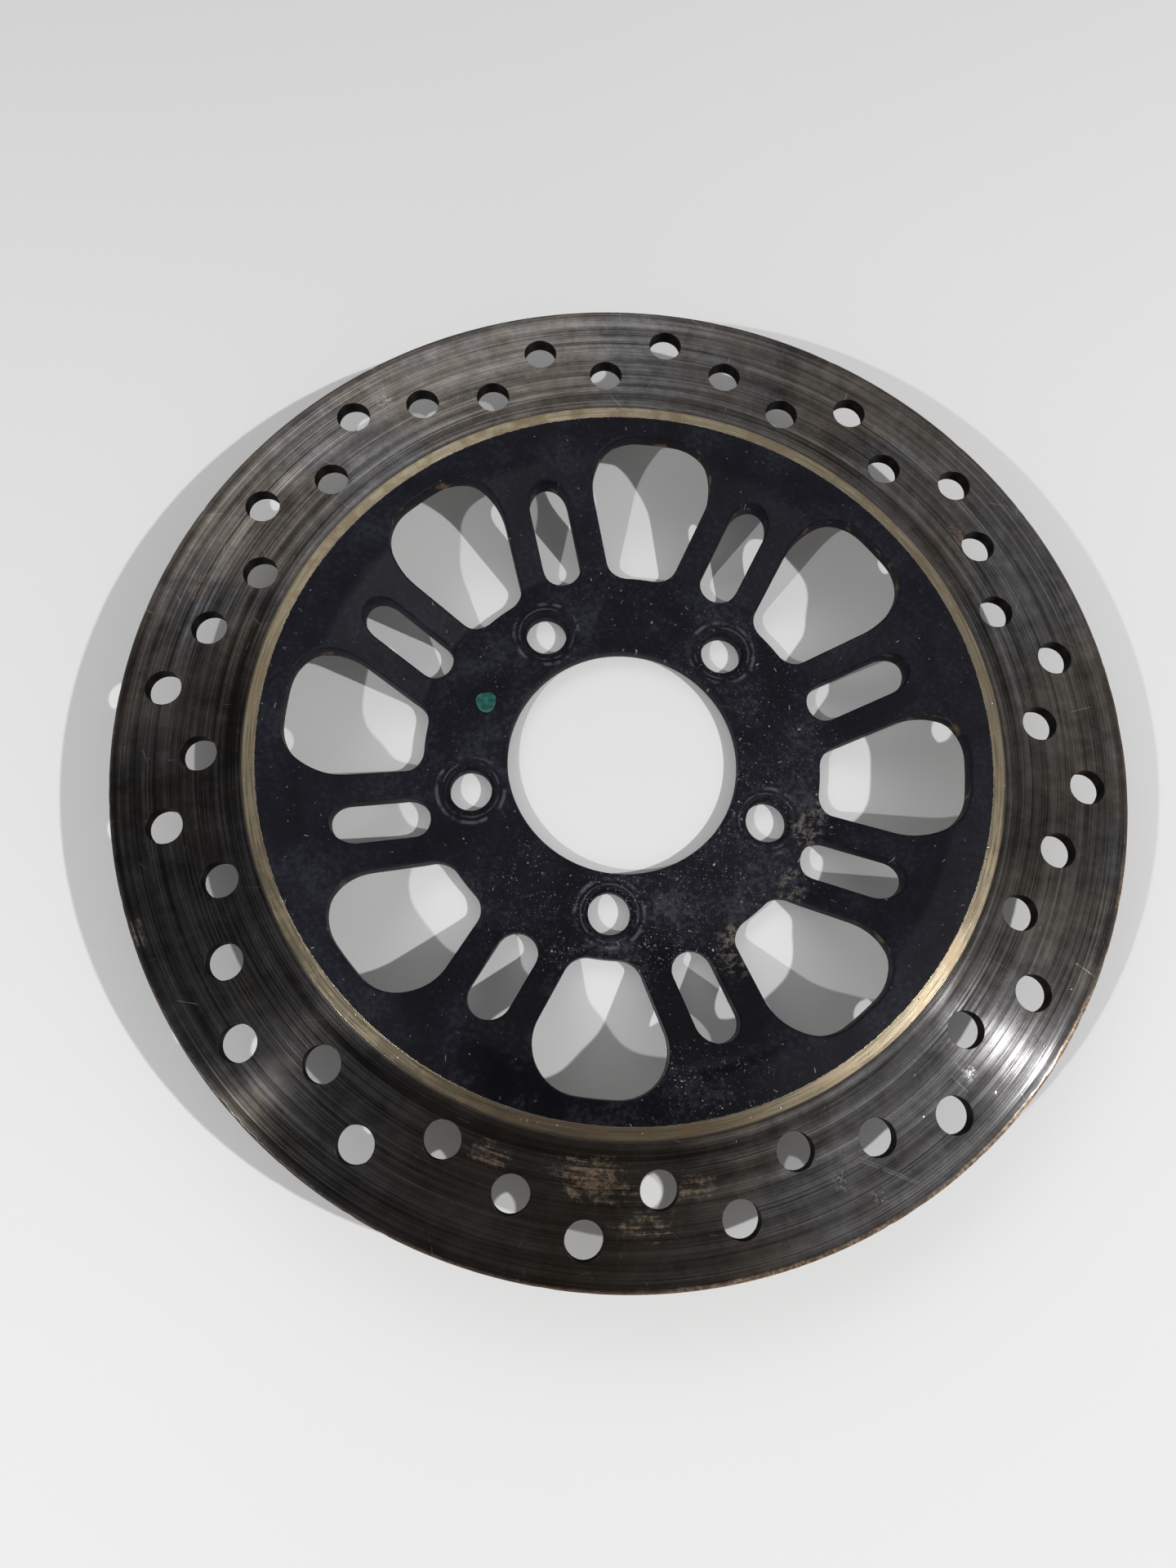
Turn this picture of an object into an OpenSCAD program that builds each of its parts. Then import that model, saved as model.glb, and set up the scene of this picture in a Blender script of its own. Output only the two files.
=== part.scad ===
// Brake disc rotor of a small motorcycle.
// It is one dished pressing: a flat friction ring on the outside, and a black painted
// carrier that steps down through eight forked arms to the flat hub flange.
// Its zones are separate solids that meet face to face on circles about the wheel's axis.
// The origin is on that axis, on the hub flange's lower face. +Z points to the hollow
// side of the dish, and -Y passes through a bolt hole that lines up with a window.

/* [Friction ring] */
// Outer diameter of the rotor
outer_d = 240; // [224:1:290]
// Width of the ground track that the pads sweep
track_w = 29.7; // [27:0.1:34]
// Thickness of the plate across the worn track
track_t = 3.7; // [3.5:0.1:4]
// Bevel on the outer corners of the track
outer_bevel = 0.4; // [0.1:0.1:1]
// Width of the bare land between the track and the paint
land_w = 3.1; // [1:0.1:6]

/* [Vent holes] */
// Diameter of a vent hole
vent_d = 8.3; // [6:0.1:9]
// Bevel on both mouths of a vent hole
vent_bevel = 0.3; // [0.1:0.1:0.6]
// From the outer edge of the track to the centres of the outermost row of holes
vent_outer_margin = 9.8; // [7:0.1:12]
// From the inner edge of the track to the centres of the innermost row of holes
vent_inner_margin = 8.3; // [6:0.1:10]

/* [Carrier] */
// Thickness of the plate outside the worn track
plate_t = 4.2; // [4:0.1:6]
// Height of the ring's lower face above the hub flange's lower face
dish_depth = 17.8; // [14:0.1:21]
// Inner radius of the two bends
bend_r = 3; // [1:0.1:4]
// Width of the flat painted rim between the upper bend and the land
rim_w = 7.9; // [5:0.1:10]

/* [Windows and arms] */
// Number of windows, and of the arms between them
window_count = 8; // [6:1:8]
// Width of an arm between two windows
arm_w = 24; // [20:0.1:26]
// How far windows and slots reach past the lower bend, into the hub flange
inner_reach = 1.8; // [1:0.1:3]
// How far windows reach past the upper bend, into the rim
outer_reach = 2.7; // [1.5:0.1:4]
// Corner radius of a window at its hub end
window_inner_r = 6; // [4:0.1:7]
// Corner radius of a window at its rim end
window_outer_r = 11.3; // [8:0.1:12]
// Width of the slot in the middle of each arm
slot_w = 10.2; // [7:0.1:12]
// From the slot's outer end to the upper bend
slot_margin = 6.4; // [4:0.1:9]

/* [Hub flange] */
// Diameter of the centre bore
bore_d = 59; // [52:0.1:60]
// Bevel on both mouths of the bore
bore_bevel = 0.4; // [0.1:0.1:0.8]
// Diameter of the flat hub flange, up to where the lower bend starts
hub_flat_d = 104.6; // [102:0.1:110]
// Number of bolt holes
bolt_count = 5; // [3:1:6]
// Diameter of the circle that the bolt holes lie on
bolt_pcd = 78.7; // [76:0.1:82]
// Diameter of a bolt hole
bolt_d = 10.5; // [8:0.1:11]
// Bevel of a bolt hole on the side of the bolt head
bolt_bevel = 0.9; // [0.2:0.1:1.2]
// Bevel of a bolt hole on the side of the wheel
bolt_back_bevel = 0.3; // [0.1:0.1:0.8]

/* [Paint dab] */
// Diameter of the inspector's dab of paint
dab_d = 5.6; // [3:0.1:8]
// Thickness of the dab
dab_t = 0.15; // [0.1:0.05:0.3]
// From the edge of the bore to the middle of the dab
dab_from_bore = 9.1; // [6:0.1:12]
// Turn of the dab from the line midway between two bolt holes
dab_turn = 1.3; // [-6:0.1:6]

/* [Hidden] */
$fn = 128;
ARMS = [for (i = [1:window_count]) str("arm_", i)];

// Colours of the finishes
worn_steel = [0.38, 0.36, 0.35];
bare_steel = [0.6, 0.53, 0.4];
black_paint = [0.1, 0.1, 0.12];
green_paint = [0.04, 0.38, 0.31];

// Radii of the zones, from the outside in
outer_r = outer_d / 2;
track_inner_r = outer_r - track_w;
land_inner_r = track_inner_r - land_w;
rim_inner_r = land_inner_r - rim_w;
hub_flat_r = hub_flat_d / 2;
bore_r = bore_d / 2;

// Heights of the plate's faces
ring_top_z = dish_depth + plate_t;
track_z = dish_depth + (plate_t - track_t) / 2;
track_top_z = track_z + track_t;

// Slope of the arms: the line that runs off one bend's middle radius and onto the other's
bend_mid_r = bend_r + plate_t / 2;
bend_run = rim_inner_r - hub_flat_r;
bend_rise = dish_depth - 2 * bend_mid_r;
arm_slope = atan2(bend_rise, bend_run) + asin(2 * bend_mid_r / norm([bend_run, bend_rise]));
bend_steps = 6;

// Windows
window_step = 360 / window_count;
half_step = window_step / 2;
window_inner_end = hub_flat_r - inner_reach;
window_outer_end = rim_inner_r + outer_reach;
corner_steps = 10;

// Slots
slot_r = slot_w / 2;
slot_inner_x = window_inner_end + slot_r;
slot_outer_x = rim_inner_r - slot_margin - slot_r;

// Vent holes of one sector: how far each lies from the innermost row to the outermost,
// and how far it is turned from one window's centre line to the next, as shares
vent_rows = [[1, 0], [0.46, 0.2], [0, 0.42], [0.83, 0.61], [0.13, 0.81]];
vent_first_r = track_inner_r + vent_inner_margin;
vent_last_r = outer_r - vent_outer_margin;

// The first bolt hole lies on -Y
bolt_start = -90;
bolt_step = 360 / bolt_count;
bolt_r = bolt_d / 2;
// The dab lies between the fourth and the fifth bolt hole
dab_angle = bolt_start + 3.5 * bolt_step + dab_turn;

// Cutters pass this far beyond the plate
over = 2;

function arc(centre, r, from, to, steps) =
    [for (i = [0:steps]) let (a = from + (to - from) * i / steps) centre + r * [cos(a), sin(a)]];

function turned(p, a) = [p.x * cos(a) - p.y * sin(a), p.x * sin(a) + p.y * cos(a)];

function mirrored(points) = [for (i = [len(points) - 1:-1:0]) [points[i].x, -points[i].y]];

// Flat ring between two radii and two heights, bevelled on the corners of one radius
module bevelled_ring(plain_r, bevelled_r, z, t, bevel) {
    in = bevelled_r - bevel * sign(bevelled_r - plain_r);
    rotate_extrude()
        polygon([
            [plain_r, z],
            [in, z],
            [bevelled_r, z + bevel],
            [bevelled_r, z + t - bevel],
            [in, z + t],
            [plain_r, z + t]
        ]);
}

// Drill through a plate from z up to z + t, with a bevel at each mouth
module bevelled_drill(r, z, t, low_bevel, high_bevel) {
    translate([0, 0, z - over]) cylinder(h = t + 2 * over, r = r);
    translate([0, 0, z + t - high_bevel])
        cylinder(h = 2 * high_bevel, r1 = r, r2 = r + 2 * high_bevel);
    translate([0, 0, z - low_bevel])
        cylinder(h = 2 * low_bevel, r1 = r + 2 * low_bevel, r2 = r);
}

// Outline of the window whose centre line is +X. Its sides run parallel to the middles of
// the arms beside it, and its ends follow circles about the wheel's axis.
function window_outline() =
    let (
        side = arm_w / 2,
        outer_y = side + window_outer_r,
        outer_x = sqrt(pow(window_outer_end - window_outer_r, 2) - pow(outer_y, 2)),
        inner_y = side + window_inner_r,
        inner_x = sqrt(pow(window_inner_end + window_inner_r, 2) - pow(inner_y, 2)),
        outer_c = turned([outer_x, -outer_y], half_step),
        inner_c = turned([inner_x, -inner_y], half_step),
        outer_a = atan2(outer_c.y, outer_c.x),
        inner_a = atan2(inner_c.y, inner_c.x),
        side_a = 90 + half_step,
        upper = concat(
            arc(outer_c, window_outer_r, outer_a, side_a, corner_steps),
            arc(inner_c, window_inner_r, side_a, 180 + inner_a, corner_steps)
        )
    )
    concat([[window_outer_end, 0]], upper, [[window_inner_end, 0]], mirrored(upper));

module window_cut(angle) {
    rotate([0, 0, angle]) translate([0, 0, -over])
        linear_extrude(height = ring_top_z + 2 * over) polygon(window_outline());
}

module slot_cut(angle) {
    rotate([0, 0, angle]) translate([0, 0, -over])
        linear_extrude(height = ring_top_z + 2 * over) {
            translate([slot_inner_x, 0]) circle(r = slot_r);
            translate([slot_outer_x, 0]) circle(r = slot_r);
            translate([slot_inner_x, -slot_r]) square([slot_outer_x - slot_inner_x, slot_w]);
        }
}

module all_windows() {
    for (i = [0:window_count - 1]) window_cut(i * window_step);
}

module all_slots() {
    for (i = [0:window_count - 1]) slot_cut((i + 0.5) * window_step);
}

// Section of the plate from the lower bend to the upper one, right of the axis
module arm_section() {
    low_c = [hub_flat_r, plate_t + bend_r];
    high_c = [rim_inner_r, dish_depth - bend_r];
    wide_r = bend_r + plate_t;
    polygon(concat(
        arc(low_c, wide_r, -90, -90 + arm_slope, bend_steps),
        arc(high_c, bend_r, 90 + arm_slope, 90, bend_steps),
        arc(high_c, wide_r, 90, 90 + arm_slope, bend_steps),
        arc(low_c, bend_r, -90 + arm_slope, -90, bend_steps)
    ));
}

// Worn, bare track with rows of vent holes through it
module friction_ring() {
    color(worn_steel)
    difference() {
        bevelled_ring(track_inner_r, outer_r, track_z, track_t, outer_bevel);
        for (i = [0:window_count - 1], row = vent_rows)
            rotate([0, 0, (i - row[1]) * window_step])
                translate([vent_first_r + row[0] * (vent_last_r - vent_first_r), 0, 0])
                    bevelled_drill(vent_d / 2, track_z, track_t, vent_bevel, vent_bevel);
    }
}

// Bare band that the pads don't reach, left at the full thickness of the plate
module bare_land() {
    color(bare_steel)
    rotate_extrude()
        translate([land_inner_r, dish_depth]) square([land_w, plate_t]);
}

// Flat painted rim, notched by the outer ends of the windows
module painted_rim() {
    color(black_paint)
    difference() {
        rotate_extrude()
            translate([rim_inner_r, dish_depth]) square([rim_w, plate_t]);
        all_windows();
    }
}

// Forked arm between two windows, sloping from the hub flange up to the rim
module arm(i) {
    color(black_paint)
    rotate([0, 0, (i - 1) * window_step])
        difference() {
            rotate_extrude(angle = window_step) arm_section();
            window_cut(0);
            window_cut(window_step);
            slot_cut(half_step);
        }
}

// Flat flange that is bolted to the wheel and centred by its bore
module hub_flange() {
    color(black_paint)
    difference() {
        bevelled_ring(hub_flat_r, bore_r, 0, plate_t, bore_bevel);
        all_windows();
        all_slots();
        for (i = [0:bolt_count - 1])
            rotate([0, 0, bolt_start + i * bolt_step]) translate([bolt_pcd / 2, 0, 0])
                bevelled_drill(bolt_r, 0, plate_t, bolt_back_bevel, bolt_bevel);
    }
}

// Dab of green paint on the hub flange's upper face
module paint_dab() {
    color(green_paint)
    rotate([0, 0, dab_angle]) translate([bore_r + dab_from_bore, 0, plate_t])
        cylinder(h = dab_t, d = dab_d);
}

friction_ring();
bare_land();
painted_rim();
for (i = [1:window_count]) arm(i);
hub_flange();
paint_dab();
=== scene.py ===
import math

import bpy
import numpy as np
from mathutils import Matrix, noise
from mathutils.geometry import delaunay_2d_cdt


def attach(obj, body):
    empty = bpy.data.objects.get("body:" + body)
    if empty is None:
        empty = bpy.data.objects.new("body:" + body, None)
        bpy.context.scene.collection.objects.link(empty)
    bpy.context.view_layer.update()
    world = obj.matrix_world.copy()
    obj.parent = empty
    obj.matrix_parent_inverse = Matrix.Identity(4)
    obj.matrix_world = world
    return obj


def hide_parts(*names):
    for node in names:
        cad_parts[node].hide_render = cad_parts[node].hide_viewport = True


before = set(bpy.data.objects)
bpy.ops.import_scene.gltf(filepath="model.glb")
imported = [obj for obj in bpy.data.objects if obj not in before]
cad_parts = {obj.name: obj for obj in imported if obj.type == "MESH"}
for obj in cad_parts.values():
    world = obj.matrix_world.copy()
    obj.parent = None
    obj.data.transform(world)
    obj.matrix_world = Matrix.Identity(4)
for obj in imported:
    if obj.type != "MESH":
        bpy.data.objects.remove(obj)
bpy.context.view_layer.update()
MM = 0.001


# ---------------------------------------------------------------- carrier
# The black middle of the pressing: flat rim, eight forked arms and hub flange.
# One piece of steel plate, punched and dished in a press, so every edge is a little
# rounded; then dipped in satin black paint. Bore and bolt holes are machined.
PLATE = 4.2
RING_LOW = 17.8
BEND = 3.0
BORE_R = 29.5
HUB_FLAT_R = 52.3
RIM_R = 79.3
PAINT_R = 87.2
WINDOW_IN, WINDOW_OUT = 50.5, 82.0
HALF_ARM = 12.0
CORNER_IN, CORNER_OUT = 6.0, 11.3
SLOT_R, SLOT_FROM, SLOT_TO = 5.1, 55.6, 67.8
BOLT_R, BOLT_CIRCLE = 5.25, 39.35
STEP = 45.0
# The straight part of the dish touches both bends, so their radii set its slope
MIDDLE = BEND + PLATE / 2
RUN, RISE = RIM_R - HUB_FLAT_R, RING_LOW - 2 * MIDDLE
SLOPE = math.atan2(RISE, RUN) + math.asin(2 * MIDDLE / math.hypot(RUN, RISE))


def turn(points, degrees):
    a = math.radians(degrees)
    c, s = math.cos(a), math.sin(a)
    p = np.asarray(points, float)
    return np.c_[p[:, 0] * c - p[:, 1] * s, p[:, 0] * s + p[:, 1] * c]


def arc(centre, radius, start, end, steps):
    a = np.radians(np.linspace(start, end, steps + 1))
    return np.c_[centre[0] + radius * np.cos(a), centre[1] + radius * np.sin(a)]


def circle(radius, steps, centre=(0, 0)):
    return arc(centre, radius, 0, 360, steps)[:-1]


def straight(start, end, steps):
    t = np.linspace(0, 1, steps + 1)[1:-1, None]
    return np.asarray(start) * (1 - t) + np.asarray(end) * t


def window():
    """Outline of the window on +X: sides parallel to the arms' middles, round corners."""
    wide, narrow = HALF_ARM + CORNER_OUT, HALF_ARM + CORNER_IN
    outer = turn([[math.sqrt((WINDOW_OUT - CORNER_OUT) ** 2 - wide**2), -wide]], STEP / 2)[0]
    inner = turn([[math.sqrt((WINDOW_IN + CORNER_IN) ** 2 - narrow**2), -narrow]], STEP / 2)[0]
    outer_a = math.degrees(math.atan2(outer[1], outer[0]))
    inner_a = math.degrees(math.atan2(inner[1], inner[0]))
    side = 90 + STEP / 2
    shoulder = arc(outer, CORNER_OUT, outer_a, side, 18)
    foot = arc(inner, CORNER_IN, side, 180 + inner_a, 14)
    upper = np.concatenate([
        arc((0, 0), WINDOW_OUT, 0, outer_a, 5)[:-1], shoulder,
        straight(shoulder[-1], foot[0], 6), foot,
        arc((0, 0), WINDOW_IN, inner_a, 0, 5)[1:],
    ])
    return np.concatenate([upper, (upper * [1, -1])[-2:0:-1]])


def slot():
    out = arc((SLOT_TO, 0), SLOT_R, -90, 90, 24)
    back = arc((SLOT_FROM, 0), SLOT_R, 90, 270, 24)
    return np.concatenate([
        out, straight(out[-1], back[0], 5), back, straight(back[-1], out[0], 5)])


def rounding(radius, past=0.25):
    """How far a rounded edge has dropped at each distance from its wall."""
    a = np.radians([0, 22.5, 45, 67.5, 90])
    away, drop = radius * (1 - np.cos(a)), radius * (1 - np.sin(a))
    return [*zip(away, drop), (radius + past, 0.0)]


def bevel(size):
    """The same for a cut bevel with its two corners just broken."""
    return [(0, size + 0.04), (0.05, size - 0.06), (size - 0.1, 0.1), (size + 0.08, 0),
            (size + 0.35, 0)]


def low_face(r):
    """Height of the dished plate's lower face."""
    wide = BEND + PLATE
    low = PLATE + BEND - np.sqrt(np.maximum(wide**2 - np.clip(r - HUB_FLAT_R, 0, wide) ** 2, 0))
    high = RING_LOW - BEND + np.sqrt(np.maximum(BEND**2 - np.clip(RIM_R - r, 0, BEND) ** 2, 0))
    foot_r, foot_z = HUB_FLAT_R + wide * math.sin(SLOPE), PLATE + BEND - wide * math.cos(SLOPE)
    head_r = RIM_R - BEND * math.sin(SLOPE)
    ramp = foot_z + (r - foot_r) * math.tan(SLOPE)
    return np.where(r < foot_r, low, np.where(r > head_r, high, ramp))


def high_face(r):
    """Height of its upper face."""
    wide = BEND + PLATE
    low = PLATE + BEND - np.sqrt(np.maximum(BEND**2 - np.clip(r - HUB_FLAT_R, 0, BEND) ** 2, 0))
    high = RING_LOW - BEND + np.sqrt(np.maximum(wide**2 - np.clip(RIM_R - r, 0, wide) ** 2, 0))
    foot_r, foot_z = HUB_FLAT_R + BEND * math.sin(SLOPE), PLATE + BEND - BEND * math.cos(SLOPE)
    head_r = RIM_R - wide * math.sin(SLOPE)
    ramp = foot_z + (r - foot_r) * math.tan(SLOPE)
    return np.where(r < foot_r, low, np.where(r > head_r, high, ramp))


def band(points, outline, spare):
    """Which points lie between an outline's nearest and farthest distance from its middle,
    and which lie nearer."""
    middle = outline.mean(0)
    reach = np.hypot(*(outline - middle).T)
    far = np.hypot(*(points - middle).T)
    inner = reach.min() * 0.99 - spare
    return (far > inner) & (far < reach.max() + spare), far <= inner


def away_from(points, outline):
    """Distance of each point from a closed outline."""
    a, b = outline, np.roll(outline, -1, 0)
    ab = b - a
    t = ((points[:, None] - a) * ab).sum(2) / (ab * ab).sum(1)
    near = a + np.clip(t, 0, 1)[..., None] * ab
    return np.sqrt(((points[:, None] - near) ** 2).sum(2)).min(1)


def within(points, outline):
    close, inside = band(points, outline, 0.5)
    a, b = outline, np.roll(outline, -1, 0)
    x, y = points[close, :1], points[close, 1:]
    crosses = (a[:, 1] > y) != (b[:, 1] > y)
    run = np.where(b[:, 1] == a[:, 1], 1, b[:, 1] - a[:, 1])
    left = x < a[:, 0] + (y - a[:, 1]) * (b[:, 0] - a[:, 0]) / run
    inside[close] = (crosses & left).sum(1) % 2 == 1
    return inside


def plate(name, edges, rings, top, under):
    """Plate between two faces. Each edge is an outline with its upper and lower rounding,
    the first one the plate's outside; rings are circles that its faces bend along."""
    loops, inset = [], []
    for i, (outline, upper, lower) in enumerate(edges):
        along = np.roll(outline, -1, 0) - np.roll(outline, 1, 0)
        along /= np.linalg.norm(along, axis=1)[:, None]
        inward = np.c_[-along[:, 1], along[:, 0]] * (1 if i == 0 else -1)
        for away in sorted({round(float(d), 4) for d, _ in [*upper, *lower]}):
            loops.append(outline + inward * away)
            inset.append(away)
    points, lines = [], []
    for loop in [*loops, *rings]:
        first = len(points)
        points += [tuple(p) for p in loop]
        lines += [(first + k, first + (k + 1) % len(loop)) for k in range(len(loop))]
    verts, _, faces, *_ = delaunay_2d_cdt([*map(np.array, points)], lines, [], 0, 1e-5)
    flat = np.array([tuple(v) for v in verts])
    faces = np.array(faces)
    centres = flat[faces].mean(1)
    keep = within(centres, edges[0][0])
    for outline, _, _ in edges[1:]:
        keep &= ~within(centres, outline)
    faces = faces[keep]
    used, faces = np.unique(faces, return_inverse=True)
    faces, flat = faces.reshape(-1, 3), flat[used]
    r = np.hypot(*flat.T)
    sink, rise = np.zeros(len(flat)), np.zeros(len(flat))
    for outline, upper, lower in edges:
        close, _ = band(flat, outline, 1.6)
        away = away_from(flat[close], outline)
        sink[close] = np.maximum(sink[close], np.interp(away, *np.array(upper).T, right=0))
        rise[close] = np.maximum(rise[close], np.interp(away, *np.array(lower).T, right=0))
    n = len(flat)
    above = np.c_[flat, top(r) - sink]
    below = np.c_[flat, under(r) + rise]
    sides = np.concatenate([faces[:, [0, 1]], faces[:, [1, 2]], faces[:, [2, 0]]])
    key = np.sort(sides, 1) @ [n, 1]
    _, index, count = np.unique(key, return_index=True, return_counts=True)
    rim = sides[index[count == 1]]
    walls = np.c_[rim[:, 1], rim[:, 0], rim[:, 0] + n, rim[:, 1] + n]
    mesh = bpy.data.meshes.new(name)
    mesh.from_pydata(
        (np.concatenate([above, below]) * MM).tolist(), [],
        faces.tolist() + (faces[:, ::-1] + n).tolist() + walls.tolist())
    mesh.shade_smooth()
    mesh.set_sharp_from_angle(angle=math.radians(30))
    made = bpy.data.objects.new(name, mesh)
    bpy.context.collection.objects.link(made)
    return made


soft_edge = rounding(0.5), rounding(0.3)
# Circles that the faces bend along, close together at the two bends
bends = [*np.arange(52.3, 54.2, 0.3), *np.arange(54.8, 56.9, 0.6), *np.arange(59, 74, 2.5),
         *np.arange(75, 77.6, 0.5), *np.arange(77.9, 79.5, 0.28), 84.5, 33.0, 46.5]
carrier = plate(
    "carrier",
    [(circle(PAINT_R, 288), rounding(0.1, 0.1), rounding(0.1, 0.1)),
     (circle(BORE_R, 192), bevel(0.4), bevel(0.4))]
    + [(turn(window(), STEP * i), *soft_edge) for i in range(8)]
    + [(turn(slot(), STEP * (i + 0.5)), *soft_edge) for i in range(8)]
    + [(circle(BOLT_R, 64, turn([[BOLT_CIRCLE, 0]], 72 * i - 90)[0]), bevel(0.9), bevel(0.3))
       for i in range(5)],
    [circle(r, 256) for r in bends], high_face, low_face)


class Wire:
    """A socket in a finish's node tree. Sums written with it become nodes."""

    def __init__(self, tree, socket):
        self.tree, self.socket = tree, socket

    def node(self, kind, settings=None, sockets=None, out=0):
        made = self.tree.nodes.new(kind)
        for key, value in (settings or {}).items():
            if key == "stops":
                ramp = made.color_ramp.elements
                while len(ramp) < len(value):
                    ramp.new(0.5)
                for stop, (at, colour) in zip(ramp, value):
                    stop.position = at
                for stop, (at, colour) in zip(ramp, value):
                    grey = isinstance(colour, (int, float))
                    stop.color = (colour, colour, colour, 1) if grey else (*colour, 1)
            else:
                setattr(made, key, value)
        for key, value in (sockets or {}).items():
            if isinstance(value, Wire):
                self.tree.links.new(value.socket, made.inputs[key])
            elif made.inputs[key].type == "RGBA" and len(value) == 3:
                made.inputs[key].default_value = (*value, 1)
            else:
                made.inputs[key].default_value = value
        return Wire(self.tree, made.outputs[out])

    def math(self, operation, *others, first=None):
        values = (self, *others) if first is None else (first, self)
        return self.node("ShaderNodeMath", {"operation": operation}, dict(enumerate(values)))

    def __add__(self, other): return self.math("ADD", other)
    def __sub__(self, other): return self.math("SUBTRACT", other)
    def __mul__(self, other): return self.math("MULTIPLY", other)
    def __truediv__(self, other): return self.math("DIVIDE", other)
    def __gt__(self, other): return self.math("GREATER_THAN", other)
    def __lt__(self, other): return self.math("LESS_THAN", other)
    def __abs__(self): return self.math("ABSOLUTE")
    def __rsub__(self, other): return self.math("SUBTRACT", first=other)
    def __rtruediv__(self, other): return self.math("DIVIDE", first=other)
    __radd__, __rmul__ = __add__, __mul__

    def over(self, other): return self.math("MAXIMUM", other)

    def clamp(self):
        return self.node("ShaderNodeClamp", {}, {0: self})

    def rise(self, low, high):
        """0 below low, 1 above high, smooth between; high may be the lower one."""
        return self.node("ShaderNodeMapRange", {"interpolation_type": "SMOOTHSTEP"},
                         {"Value": self, "From Min": low, "From Max": high})

    def paints(self, under, upper):
        """Colour upper laid over colour under, with this as its cover."""
        return self.node("ShaderNodeMix", {"data_type": "RGBA"}, {0: self, 6: under, 7: upper}, 2)

    def vector(self, operation, *others, out=0, **named):
        return self.node("ShaderNodeVectorMath", {"operation": operation},
                         {**dict(enumerate((self, *others))), **named}, out)

    def parts(self):
        return [self.node("ShaderNodeSeparateXYZ", {}, {0: self}, i) for i in range(3)]

    def away(self, at_x, at_y, x_times=1.0, y_times=1.0):
        """Distance from a place, measured flat, longer along an axis with a larger factor."""
        off = self.vector("SUBTRACT", (at_x, at_y, 0.0))
        return off.vector("MULTIPLY", (x_times, y_times, 0.0)).vector("LENGTH", out=1)

    def join(self, x, y, z):
        return self.node("ShaderNodeCombineXYZ", {}, {0: x, 1: y, 2: z})

    def grain(self, size, detail=2.0, rough=0.5):
        """Soft noise whose spots are about size across."""
        return self.node("ShaderNodeTexNoise", {},
                         {"Vector": self, "Scale": 1 / size, "Detail": detail, "Roughness": rough})

    def ramp(self, *stops):
        return self.node("ShaderNodeValToRGB", {"stops": stops}, {0: self})

    def bump(self):
        """The surface's direction with this as its height in millimetres."""
        return self.node("ShaderNodeBump", {}, {"Strength": 1.0, "Distance": MM, "Height": self})

    def marks(self, every, length, width, share):
        """Scattered short straight marks, one cell in so many, each with its own turn and
        its own strength."""
        sockets = {"Vector": self, "Scale": 1 / every, "Randomness": 1.0}
        cell = self.node("ShaderNodeTexVoronoi", {"voronoi_dimensions": "2D"}, sockets, 2)
        chance = self.node("ShaderNodeTexVoronoi", {"voronoi_dimensions": "2D"}, sockets, 1)
        x, y, _ = self.vector("SUBTRACT", cell).parts()
        turned, kept, long = chance.parts()
        angle = turned * math.pi
        c, s = angle.math("COSINE"), angle.math("SINE")
        along, across = abs(x * c + y * s), abs(y * c - x * s)
        reach = (long * 0.75 + 0.25) * length / 2
        return ((along / reach).rise(1.0, 0.6) * (across / (width / 2)).rise(1.2, 0.5)
                * (kept < share) * (kept / share))


def highest(wires):
    first, *others = wires
    for wire in others:
        first = first.over(wire)
    return first


def start(name):
    """A new finish, with its position, its distance from the axis and which way the
    surface faces; all in millimetres."""
    made = bpy.data.materials.new(name)
    made.use_nodes = True
    made.node_tree.nodes.clear()
    origin = Wire(made.node_tree, None)
    here = origin.node("ShaderNodeTexCoord", out=3).vector("SCALE", Scale=1000.0)
    facing = origin.node("ShaderNodeTexCoord", out=1).parts()[2]
    x, y, z = here.parts()
    r = (x * x + y * y).math("SQRT")
    return made, here, (x, y, z), r, facing


def finish_with(made, wire, **sockets):
    named = {key.replace("_", " "): value for key, value in sockets.items()}
    shader = wire.node("ShaderNodeBsdfPrincipled", {}, named)
    end = made.node_tree.nodes.new("ShaderNodeOutputMaterial")
    made.node_tree.links.new(shader.socket, end.inputs["Surface"])
    return made


def lay(piece, material, slot_name, *nodes):
    piece.data.materials.append(material)
    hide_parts(*nodes)
    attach(piece, "root")


black, here, (x, y, z), r, facing = start("black_paint")
above = facing > 0.0
# The same at every depth, but elsewhere in the pattern for the upper side than for the under
flat_here = here.join(x + above * 300.0, y, 0.0)
cloud = here.grain(14.0, 3.0)
fine = here.grain(1.2, 3.0, 0.6)
film = (cloud * 0.6 + fine * 0.4).rise(0.35, 0.65)

# Dust and rubbing lie thickest on the side of the hub flange towards +X and -Y, and a
# little has been spilt on the rim
side = ((x * 0.75 - y * 0.65) / (r + 1.0)).rise(-0.55, 0.8)
dusty = r.rise(66.0, 47.0) * (side * 0.75 + 0.25)
spilt = here.away(25.0, -80.0, x_times=0.8).rise(17.0, 6.0)
gathered = here.grain(9.0, 3.0, 0.6).rise(0.42, 0.62)
specks = flat_here.marks(1.2, 0.5, 0.32, 0.34).over(flat_here.marks(0.75, 0.34, 0.22, 0.3) * 0.8)
specks = specks * (dusty * 0.9 + spilt + 0.05).rise(0.05, 0.9) * (gathered * 0.8 + 0.2)
crumbs = flat_here.marks(4.2, 1.0, 0.5, 0.13) * (dusty + 0.15).rise(0.0, 0.7)
lint = flat_here.vector("ADD", (41.0, 17.0, 0.0)).marks(5.0, 1.6, 0.22, 0.16)
dots = flat_here.vector("ADD", (11.0, 47.0, 0.0)).marks(2.6, 0.34, 0.3, 0.13)
dirt = highest([specks, crumbs, lint * 0.8, dots * 0.7]) * above
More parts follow.
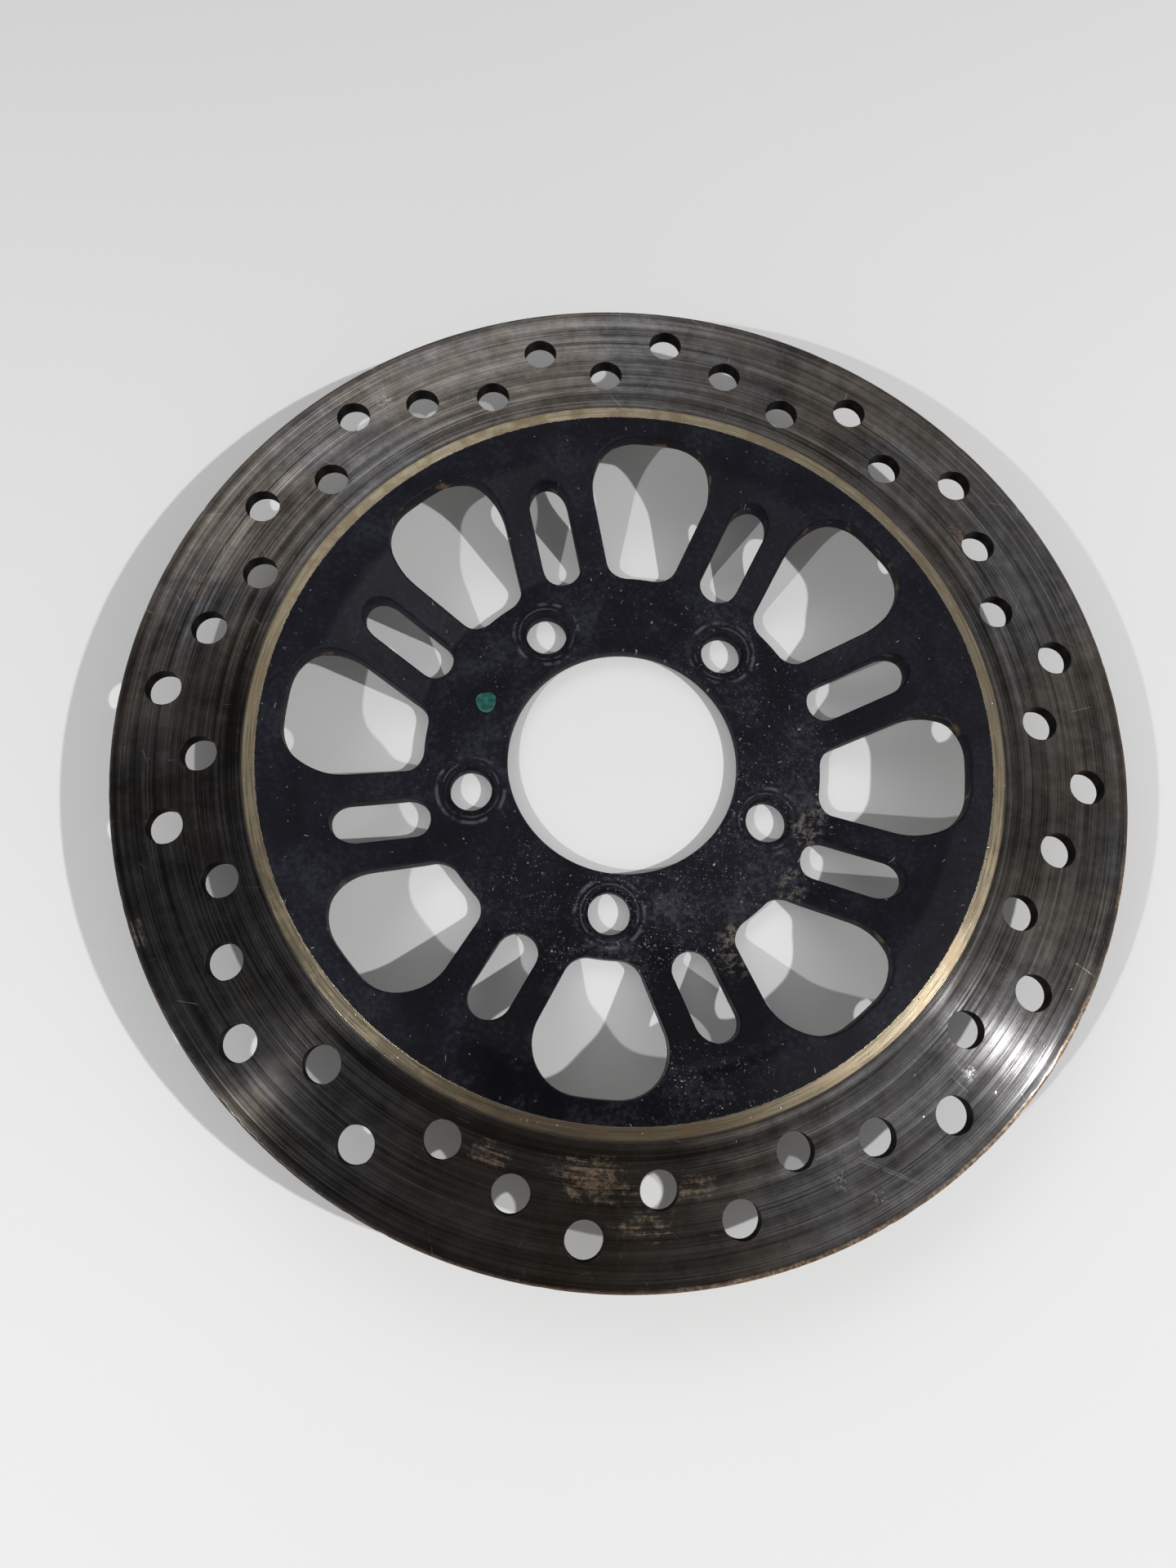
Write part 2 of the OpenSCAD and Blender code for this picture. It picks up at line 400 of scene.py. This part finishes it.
rubbed = (cloud * 0.5 + fine * 0.5).rise(0.50, 0.68) * (dusty * 0.7 + 0.34)

# The bolt heads have pressed a round seat into the paint, with two broken pale rings: paint rubbed
# by the bolt heads, lightened as painted highlight on the seats' edges
SEAT_R, OUTER_MARK_R, INNER_MARK_R = 8.3, 8.5, 7.1
from_bolt = [
    here.away(*map(float, turn([[BOLT_CIRCLE, 0]], 72 * i - 90)[0])) for i in range(5)]
seats = highest([off.rise(SEAT_R + 0.4, SEAT_R - 0.4) for off in from_bolt])
outer_broken = here.grain(4.0, 3.0).rise(0.44, 0.64)
inner_broken = here.grain(5.0, 2.0).rise(0.44, 0.6)
worn = highest([
    ((abs(off - OUTER_MARK_R) / 0.7).rise(1.0, 0.1) * outer_broken).over(
        (abs(off - INNER_MARK_R) / 0.35).rise(1.0, 0.1) * inner_broken * 0.7)
    for off in from_bolt]) * above

# Road dirt has caked at the roots of the arms towards +X and -Y: middle and size
CAKED = ((47.5, -14.0, 5.5), (44.5, -28.5, 4.5), (50.5, -9.0, 3.0), (31.0, -45.0, 6.0))
grime = highest([
    (here.away(gx, gy, y_times=0.6) / size).rise(1.0, 0.2) for gx, gy, size in CAKED])
grime = grime.rise(0.0, 0.7) * here.grain(1.9, 5.0, 0.8).rise(0.48, 0.60) * above

# Rust shows through on the outer walls of the windows. The foot of the rim towards -Y
# is painted blacker than the rest as shade, and made glossier
wall = abs(facing).rise(0.5, 0.25)
bare_wall = wall * here.grain(3.5, 3.0).rise(0.56, 0.7) * r.rise(60.0, 76.0) * (r < 86.0)
painted_foot_shade = here.away(4.0, -84.0).rise(62.0, 20.0) * above

colour = film.paints((0.0018, 0.0017, 0.0050), (0.0076, 0.0074, 0.0148))
for cover, paint in (
        (painted_foot_shade * 0.8, (0.0010, 0.0009, 0.0022)), (rubbed * 0.7, (0.045, 0.047, 0.058)),
        (seats * 0.5, (0.0012, 0.0013, 0.0032)), (worn * 0.55, (0.12, 0.13, 0.155)),
        (grime * 0.7, (0.15, 0.132, 0.108)), (bare_wall * 0.75, (0.16, 0.10, 0.055)),
        (dirt, (0.34, 0.335, 0.33))):
    colour = cover.paints(colour, paint)
rough = (0.50 - painted_foot_shade * 0.24 + cloud * 0.12 + rubbed * 0.1 + grime * 0.2).over(dirt * 0.8)
height = (here.grain(1.8, 2.0) * 0.004 + dirt * 0.03 + grime * 0.02 + fine * 0.0015
          - seats * above * 0.06)
lay(carrier, finish_with(
    black, here, Base_Color=colour, Roughness=rough, Specular_IOR_Level=0.17,
    Normal=height.bump()),
    "black_paint", "painted_rim", "hub_flange", *(f"arm_{i}" for i in range(1, 9)))


# ---------------------------------------------------------------- bare land
# The band of the same steel between the paint and the swept track. It was turned
# bright with the track, but no pad has touched it since, so it keeps its full
# thickness and has gone straw-coloured. Ragged paint laps over its inner edge.
LAND_R = 90.3
TOP = PLATE + RING_LOW
land = plate(
    "land_band",
    [(circle(LAND_R, 288), rounding(0.14, 0.15), rounding(0.14, 0.15)),
     (circle(PAINT_R, 288), rounding(0.05, 0.1), rounding(0.05, 0.1))],
    [circle(88.7, 288)], lambda r: r * 0 + TOP, lambda r: r * 0 + RING_LOW)

straw, here, (x, y, z), r, _ = start("bare_steel")
around = here.join(x / r * 6.0, y / r * 6.0, (r + z) * 3.0)
lines = around.grain(1.0, 3.0, 0.6)
blotch = here.grain(5.0, 4.0, 0.6)
pits = here.marks(2.6, 0.5, 0.35, 0.3)
brown = (blotch * 0.7 + lines * 0.3).rise(0.47, 0.60)
# Painted shade: the band darker towards -Y, deeper where it is stained
low_side_shade = here.away(0.0, -96.0).rise(56.0, 22.0)
# Painted shade: a dark line along the outer edge, at the step down to the track
step_edge_shade = r.rise(LAND_R - 0.55, LAND_R - 0.05)
lapped = (r - here.grain(1.3, 4.0, 0.65) * 0.7).rise(PAINT_R - 0.2, PAINT_R - 0.3)
colour = lines.rise(0.3, 0.7).paints((0.37, 0.30, 0.195), (0.68, 0.59, 0.43))
for cover, paint in (
        (brown * 0.6, (0.27, 0.19, 0.11)), (low_side_shade * (0.4 + brown * 0.3), (0.15, 0.10, 0.06)),
        (step_edge_shade * 0.8, (0.10, 0.08, 0.06)), (pits * 0.8, (0.07, 0.05, 0.035)),
        (lapped, (0.012, 0.012, 0.016))):
    colour = cover.paints(colour, paint)
height = lines * 0.008 + blotch * 0.01 - pits * 0.03 + lapped * 0.03
lay(land, finish_with(
    straw, here, Base_Color=colour, Metallic=(1 - lapped) * (1 - pits * 0.6) * 0.95,
    Roughness=0.22 + lines * 0.08 + brown * 0.15, Anisotropic=0.45, Anisotropic_Rotation=0.25,
    Normal=height.bump()),
    "bare_steel", "bare_land")


# ---------------------------------------------------------------- friction ring
# The flat outer ring that the pads grip, drilled with 40 vent holes in five rows.
# Years of braking have cut shallow rings into both faces and worn them 0.25 mm
# below the land. Rust sits in patches and along the outer edge; the walls of the vent holes are
# painted dark as shade.
OUTER_R = 120.0
TRACK_LOW, TRACK_TOP = 18.05, 21.75
TRACK_MID = (TRACK_LOW + TRACK_TOP) / 2
VENT_R, VENT_FIRST, VENT_LAST = 4.15, 98.6, 110.2
VENT_ROWS = ((1, 0), (0.46, 0.2), (0, 0.42), (0.83, 0.61), (0.13, 0.81))
# Worn rings: radius, half width and depth
SCORES = ((92.9, 1.0, 0.03), (96.7, 0.4, 0.01), (100.2, 0.5, 0.012), (109.8, 0.5, 0.012),
          (114.2, 0.4, 0.012), (117.9, 0.7, 0.015))


def scored(r):
    depth = np.zeros_like(r)
    for at, half, deep in SCORES:
        depth += deep * np.clip(1 - abs(r - at) / half, 0, 1) ** 0.7
    return depth


def chipped(outline):
    """The outer edge with the shallow dents that knocks have left in it."""
    out = []
    for px, py in outline:
        dent = max(0.0, noise.noise((px * 0.35, py * 0.35, 4.0)) - 0.25) * 0.35
        out.append((px * (1 - dent / OUTER_R), py * (1 - dent / OUTER_R)))
    return np.array(out)


vents = [
    turn([[VENT_FIRST + row * (VENT_LAST - VENT_FIRST), 0]], STEP * (i - part))[0]
    for i in range(8) for row, part in VENT_ROWS]
drilled = (0, 0.08), (0.08, 0), (0.35, 0)
wear_rings = sorted({at + k * half for at, half, _ in SCORES for k in (-1, -0.5, 0, 0.5, 1)})
ring = plate(
    "swept_ring",
    [(chipped(circle(OUTER_R, 480)), rounding(0.4, 0.25), rounding(0.4, 0.25)),
     (circle(LAND_R, 288), rounding(0.08, 0.12), rounding(0.08, 0.12))]
    + [(circle(VENT_R, 44, v), drilled, drilled) for v in vents],
    [circle(r, 288) for r in wear_rings],
    lambda r: TRACK_TOP - scored(r), lambda r: TRACK_LOW + scored(r))

# Every pattern that follows the braking is drawn out round the axis: it changes slowly
# with the direction (ux, uy) and fast with the level across the track
steel, here, (x, y, z), r, facing = start("worn_steel")
ux, uy = x / r, y / r
level = r + abs(z - TRACK_MID)


def drawn(around, across, shift, detail, rough):
    return here.join(ux * around, uy * around, level * across + shift).grain(1.0, detail, rough)


wide = drawn(0.9, 0.38, 0.0, 2.0, 0.5)
streaks = drawn(1.5, 1.4, 0.0, 4.0, 0.8)
lines = drawn(1.1, 4.2, 30.0, 3.0, 0.7)
fine_lines = drawn(0.9, 3.6, 70.0, 2.0, 0.7)
pale_line, dark_line = fine_lines.rise(0.60, 0.68), fine_lines.rise(0.41, 0.33)
grooves = drawn(3.0, 7.0, 0.0, 1.0, 0.5)
streaky = drawn(6.0, 1.3, 9.0, 4.0, 0.75)
smudge = here.grain(6.5, 5.0, 0.7)
patchy = here.grain(20.0, 3.0, 0.55)
small = here.grain(2.4, 4.0, 0.65)
grit = here.grain(0.9, 3.0, 0.7)
warm = here.grain(33.0, 3.0, 0.6).rise(0.40, 0.60)
stain = (patchy * 0.6 + streaks * 0.4).rise(0.42, 0.62)

# Grey of the worn track at each radius; its dark start at the land's edge is painted shade of the
# step
WORN = (
    (90.3, 0.10), (90.8, 0.40), (91.5, 0.55), (92.3, 0.22), (94.0, 0.24), (95.0, 0.46),
    (96.2, 0.52), (96.8, 0.34), (98.5, 0.42), (100.0, 0.32), (101.5, 0.50), (104.0, 0.42),
    (107.0, 0.50), (108.6, 0.54), (109.8, 0.34), (111.0, 0.50), (113.2, 0.46),
    (114.0, 0.32), (115.6, 0.52), (117.0, 0.50), (118.4, 0.34), (119.3, 0.36))
FROM, WIDTH = 90.0, 30.0
bands = ((r - FROM) / WIDTH).ramp(*(((at - FROM) / WIDTH, grey) for at, grey in WORN))

# Rust lies along the track: middle, size and how much
RUST = ((-107, 27, 9.0, 0.8), (-95, 58, 8.0, 0.5), (79, 63, 9.0, 0.8), (73, 57, 6.0, 0.55),
        (104, 36, 7.0, 0.4), (-22, -95, 11.0, 0.7), (1, -98, 20.0, 0.75), (22, -98, 12.0, 0.7),
        (13, -106, 17.0, 0.6), (-104, -57, 8.0, 0.65), (-60, 92, 9.0, 0.45))
rusty = highest([
    (here.join(x - sx, y - sy, (r - math.hypot(sx, sy)) * 1.6).vector("LENGTH", out=1)
     / size).rise(1.0, 0.1) * much
    for sx, sy, size, much in RUST])
crust = rusty * 0.62 + (streaky * 0.5 + small * 0.3 + grit * 0.2 - 0.5) * 1.7
rust = crust.rise(0.30, 0.66) * rusty.rise(0.0, 0.3)
edge = (r + small * 0.9).rise(119.75, 120.15)
rusted_edge = edge * (here.grain(9.0, 4.0, 0.7) + (x - y) * 0.0012).rise(0.50, 0.62)
# The rusty outer lip, brightened to gold on the lower right as a painted glint
rust_and_glint_lip = (r + small).rise(119.3, 119.9) * ((x - y) / r).rise(1.0, 1.28) * patchy.rise(0.38, 0.52)

# Painted light on large parts: brownish painted shade at the foot towards -Y, a lighter, cooler
# painted reflection towards +X and -Y, painted shade on the left; painted shade at the land's
# corner and in the vent holes
foot = here.away(-14.0, -103.0, y_times=1.1).rise(50.0, 14.0)
painted_reflection = here.away(84.0, -74.0).rise(48.0, 12.0)
shade = here.away(-112.0, -24.0, x_times=1.2).rise(76.0, 28.0)
# Painted shade in the corner at the foot of the land's step
step_corner_shade = r.rise(LAND_R + 0.45, LAND_R + 0.15)
# Painted shade on the walls of the vent holes
hole_wall_shade = abs(facing).rise(0.9, 0.6) * (r < VENT_LAST + VENT_R + 3.0)

# Knocks of use: small cuts and pits all over, and on the upper face some straight
# scratches (from one point to another) and pale scuffs (middle and size)
SCRATCHES = ((57.1, -88.4, 70.1, -92.2), (57.9, -89.2, 69.6, -92.5),
             (106.0, -42.3, 110.1, -44.8), (107.5, -45.1, 109.5, -41.6))
SCUFFS = ((81.2, -68.9, 2.6), (53.6, -93.4, 3.2), (61.9, -95.8, 2.8), (-71.0, 84.0, 3.0))
upper = z > TRACK_MID
cuts = here.marks(9.0, 7.0, 0.22, 0.2)
cuts = cuts.over(here.vector("ADD", (5.0, 3.0, 0.0)).marks(5.0, 2.6, 0.2, 0.2) * 0.6)
for from_x, from_y, to_x, to_y in SCRATCHES:
    run_x, run_y = to_x - from_x, to_y - from_y
    along = ((x - from_x) * run_x + (y - from_y) * run_y) / (run_x**2 + run_y**2)
    part = along.clamp()
    off = here.join(x - from_x - part * run_x, y - from_y - part * run_y, 0.0)
    scratch = (off.vector("LENGTH", out=1) / 0.18).rise(1.0, 0.3)
    cuts = cuts.over(scratch * small.rise(0.3, 0.5) * upper)
for sx, sy, size in SCUFFS:
    scuff = (here.away(sx, sy) / size).rise(1.0, 0.2)
    cuts = cuts.over(scuff * grit.rise(0.45, 0.6) * upper)
pits = here.marks(2.2, 0.45, 0.35, 0.16)

tone = (bands.parts()[0] * 0.85 + 0.05 + (wide - 0.5) * 0.5 + (streaks - 0.5) * 0.85
        + (lines - 0.5) * 1.25 + (smudge - 0.5) * 0.65 + (small - 0.5) * 0.3
        + (patchy - 0.5) * 0.6 + pale_line * 0.26 - dark_line * 0.26
        - shade * 0.22 + painted_reflection * 0.06)
colour = tone.ramp(
    (0.0, (0.040, 0.038, 0.038)), (0.25, (0.105, 0.100, 0.098)), (0.5, (0.225, 0.220, 0.218)),
    (0.8, (0.44, 0.435, 0.43)), (1.0, (0.62, 0.62, 0.62)))
tint = (warm * (1 - painted_reflection)).paints((0.98, 0.99, 1.04), (1.05, 0.97, 0.87))
colour = colour.vector("MULTIPLY", tint)
rust_colour = grit.rise(0.35, 0.65).paints((0.055, 0.033, 0.018), (0.21, 0.115, 0.045))
rust_and_glint_colour = grit.rise(0.4, 0.65).paints((0.11, 0.06, 0.03), (0.42, 0.30, 0.18))
for cover, paint in (
        (stain * 0.35, (0.11, 0.085, 0.065)), (foot * 0.5, (0.10, 0.070, 0.047)),
        (cuts * 0.5, (0.6, 0.6, 0.6)), (pits * 0.7, (0.03, 0.025, 0.02)),
        (rust * 0.8, rust_colour), (edge * 0.85, (0.030, 0.022, 0.017)),
        (rusted_edge * 0.7, (0.13, 0.075, 0.04)), (rust_and_glint_lip * 0.8, rust_and_glint_colour),
        (step_corner_shade * 0.8, (0.02, 0.017, 0.014)), (hole_wall_shade * 0.95, (0.009, 0.007, 0.006))):
    colour = cover.paints(colour, paint)
dull = highest([rust, edge * 0.8, step_corner_shade * 0.8, rust_and_glint_lip * 0.6])
polish = 0.06 + lines * 0.075 + stain * 0.04 + foot * 0.05
height = (streaks * 0.008 + lines * 0.004 + grooves * 0.01 - pits * 0.02 - cuts * 0.01
          + rust * small * 0.03)
lay(ring, finish_with(
    steel, here, Base_Color=colour, Metallic=0.98 - dull * 0.8,
    Roughness=polish.over(dull.over(hole_wall_shade) * 0.8), Anisotropic=0.9, Anisotropic_Rotation=0.25,
    Normal=height.bump()),
    "worn_steel", "friction_ring")


# ---------------------------------------------------------------- paint dab
# The inspector's mark: one touch of a brush with green enamel on the hub flange,
# thickest in the middle, with an uneven edge where the brush was lifted.
DAB_AT, DAB_UP = (-36.6, 11.3), 0.15
DAB_EDGE = (2.55, 2.75, 2.95, 2.7, 2.35, 2.6, 2.75, 2.5, 2.3, 2.45, 2.7, 2.95, 2.75, 2.5)
turns = np.linspace(0, 2 * math.pi, 85)[:-1]
reach = np.interp(turns, np.linspace(0, 2 * math.pi, len(DAB_EDGE) + 1), [*DAB_EDGE, DAB_EDGE[0]])
reach = np.convolve(np.r_[reach[-3:], reach, reach[:3]], np.ones(7) / 7, "valid")
blob = np.c_[DAB_AT[0] + reach * np.cos(turns), DAB_AT[1] + reach * np.sin(turns)]
dab = plate(
    "green_dab",
    [(blob, [(0, 0.12), (0.12, 0.06), (0.3, 0.025), (0.7, 0.03), (1.3, 0.0)], [(0, 0)])],
    [circle(1.0, 24, DAB_AT)], lambda r: r * 0 + PLATE + DAB_UP, lambda r: r * 0 + PLATE)

green, here, (x, y, _), *_ = start("green_paint")
thick = here.grain(1.6, 3.0)
colour = thick.rise(0.35, 0.65).paints((0.003, 0.048, 0.042), (0.007, 0.125, 0.100))
height = here.join(x * 0.4, y * 1.5, 0.0).grain(0.5, 2.0) * 0.03
lay(dab, finish_with(
    green, here, Base_Color=colour, Roughness=0.38 + thick * 0.12, IOR=1.5,
    Normal=height.bump()),
    "green_paint", "paint_dab")


# ---------------------------------------------------------------- table
# A plain pale table top, wide enough to fill every view. Beyond the lamps' reach it
# takes the tone of the walls, so that no edge shows behind the disc.
TABLE_HALF = 4.0
JUST_BELOW = -0.00005
table_mesh = bpy.data.meshes.new("table_top")
table_mesh.from_pydata(
    [(TABLE_HALF * i, TABLE_HALF * j, 0) for i, j in ((-1, -1), (1, -1), (1, 1), (-1, 1))],
    [], [(0, 1, 2, 3)])
table_top = bpy.data.objects.new("table_top", table_mesh)
table_top.location.z = JUST_BELOW
bpy.context.collection.objects.link(table_top)
pale, here, _, r, _ = start("pale_top")
WALL_TONE = 0.62
to_camera, to_gloss = (here.node("ShaderNodeLightPath", out=i) for i in (0, 3))
distant = r.rise(300.0, 750.0) * to_camera.over(to_gloss)
colour = here.grain(300.0).paints((0.82, 0.82, 0.82), (0.86, 0.86, 0.855))
table_mesh.materials.append(finish_with(
    pale, here, Base_Color=distant.paints(colour, (0.0, 0.0, 0.0)), Roughness=0.8,
    Specular_IOR_Level=0.3, Emission_Strength=1.0,
    Emission_Color=distant.paints((0.0, 0.0, 0.0), (WALL_TONE, WALL_TONE, WALL_TONE))))


# ---------------------------------------------------------------- light
# A room with pale walls and a dim ceiling, which is lighter at the far left and above
# the right, and two lamps, one to the right and one to the front left.
room = bpy.data.worlds.new("room")
bpy.context.scene.world = room
room.use_nodes = True
room.node_tree.nodes.clear()
sky = Wire(room.node_tree, None).node("ShaderNodeTexCoord", out=0)
wx, wy, wz = sky.parts()
walls = wz.ramp(
    (0.0, WALL_TONE), (0.2, 0.55), (0.45, 0.24), (0.5, 0.21), (0.65, 0.37), (0.80, 0.355),
    (0.88, 0.135), (1.0, 0.07))
far = (wy * 0.8 - wx * 0.6).rise(0.44, 0.58) * wz.rise(0.35, 0.65)
right = (wx * 0.36 + wz * 0.93).rise(0.962, 0.993)
strength = walls.parts()[0] * (1 + far * 2) + right * 0.3
back = strength.node("ShaderNodeBackground", {}, {"Color": (1.0, 1.0, 1.0), "Strength": strength})
end = room.node_tree.nodes.new("ShaderNodeOutputWorld")
room.node_tree.links.new(back.socket, end.inputs["Surface"])

# Each lamp: its azimuth and height above the table in degrees, its distance in metres, and
# how bright white on the table is in its light alone
CONE, CONE_BLEND, BULB = math.radians(92), 0.8, 0.011
for name, azimuth, above_table, away, level in (
        ("lamp_right", -12, 48.5, 1.2, 0.37), ("lamp_front_left", 219, 46.3, 0.75, 0.21)):
    a, e = math.radians(azimuth), math.radians(above_table)
    light = bpy.data.lights.new(name, "SPOT")
    light.spot_size, light.spot_blend = CONE, CONE_BLEND
    light.shadow_soft_size = BULB * away
    light.energy = level * 4 * math.pi**2 * away**2 / math.sin(e)
    lamp = bpy.data.objects.new(name, light)
    lamp.location = (away * math.cos(e) * math.cos(a), away * math.cos(e) * math.sin(a),
                     away * math.sin(e))
    lamp.rotation_euler = (0.0, math.pi / 2 - e, a)
    bpy.context.collection.objects.link(lamp)


# ---------------------------------------------------------------- camera
# A wide lens a quarter of a metre above the table, over the near part of the disc,
# looking down and a little away.
eye = bpy.data.cameras.new("eye")
eye.lens = 22.612
camera = bpy.data.objects.new("eye", eye)
camera.location = (-0.013427, -0.073009, 0.243386)
camera.rotation_euler = [math.radians(v) for v in (15.1118, -2.7259, 5.5727)]
bpy.context.collection.objects.link(camera)
bpy.context.scene.camera = camera
bpy.context.scene.view_settings.view_transform = "Standard"
